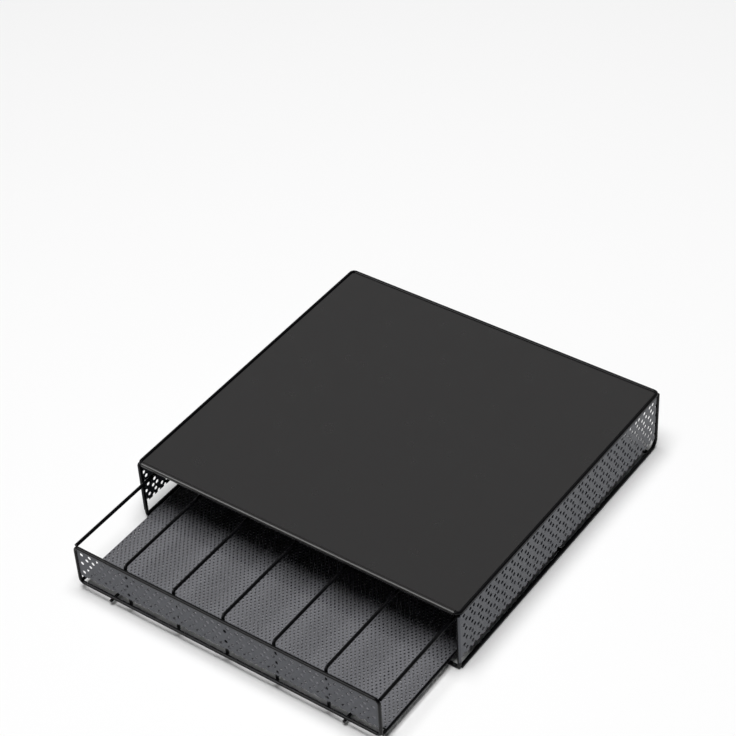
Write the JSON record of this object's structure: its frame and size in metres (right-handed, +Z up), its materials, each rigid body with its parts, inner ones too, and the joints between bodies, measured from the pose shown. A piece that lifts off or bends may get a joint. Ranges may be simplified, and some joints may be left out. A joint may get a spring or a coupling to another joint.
{
  "type": "coffee pod drawer",
  "caption": "Low black case of welded wire and perforated sheet steel that carries a coffee machine, with a mesh-floored drawer for rows of coffee pods sliding out at the front.",
  "frame": {"origin": "centre of the footprint on the table, with the drawer 99 mm out of the case", "axes": "+X right across the width, -Y the way the drawer opens, +Z up"},
  "size_m": [0.34, 0.427, 0.067],
  "materials": {
    "platform_sheet": "satin black coat on smooth steel sheet",
    "perforated_sheet": "satin black coat on perforated steel sheet",
    "frame_wire": "semi-gloss black coat on round steel wire",
    "floor_mesh": "satin black coat on expanded steel mesh"
  },
  "bodies": {
    "case": {"platform": "platform_sheet", "top_loop": "frame_wire", "front_frame": "frame_wire", "side_wire_left": "frame_wire", "side_wire_right": "frame_wire", "side_sheet_left": "perforated_sheet", "side_sheet_right": "perforated_sheet", "middle_base_wire": "frame_wire", "rear_base_wire": "frame_wire", "deck_support_front": "frame_wire", "deck_support_rear": "frame_wire"},
    "drawer": {"drawer_front_frame": "frame_wire", "drawer_front_sheet": "perforated_sheet", "drawer_rear_frame": "frame_wire", "drawer_top_rail_left": "frame_wire", "drawer_top_rail_right": "frame_wire", "drawer_bottom_rail_left": "frame_wire", "drawer_bottom_rail_right": "frame_wire", "drawer_floor_mesh": "floor_mesh", "floor_wire_front": "frame_wire", "floor_wire_middle_front": "frame_wire", "floor_wire_middle_rear": "frame_wire", "floor_wire_rear": "frame_wire", "runner_left": "frame_wire", "runner_right": "frame_wire", "divider_1": "frame_wire", "divider_2": "frame_wire", "divider_3": "frame_wire", "divider_4": "frame_wire", "divider_5": "frame_wire"}
  },
  "joints": [
    {"name": "drawer_slide", "type": "slide", "parent": "case", "child": "drawer", "axis": [0, -1, 0], "range_m": [-0.099, 0.182]}
  ]
}
